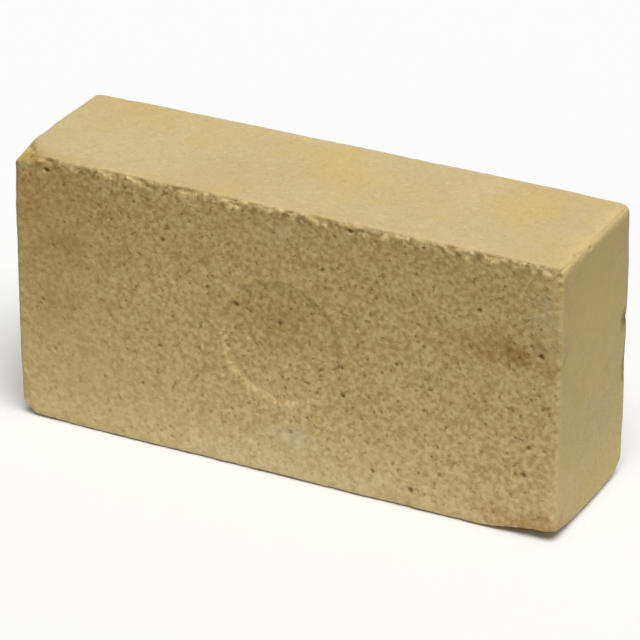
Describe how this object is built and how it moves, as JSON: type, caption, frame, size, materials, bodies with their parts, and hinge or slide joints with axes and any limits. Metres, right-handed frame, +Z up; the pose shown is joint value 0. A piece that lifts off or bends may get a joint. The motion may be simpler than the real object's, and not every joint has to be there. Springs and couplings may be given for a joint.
{
  "type": "refractory firebrick",
  "caption": "Straight refractory firebrick of buff fireclay, dry-pressed, with rounded and knocked edges and a blank round pressing in its bed face; lines kilns, hearths and furnaces.",
  "frame": {"origin": "middle of the long narrow face that the brick stands on", "axes": "+X along the length, +Y through the thickness from the front bed face to the back one, +Z up the width"},
  "size_m": [0.23, 0.064, 0.114],
  "materials": {
    "fireclay": "matte, fine grit"
  },
  "bodies": {
    "root": {"firebrick": "fireclay"}
  },
  "joints": []
}
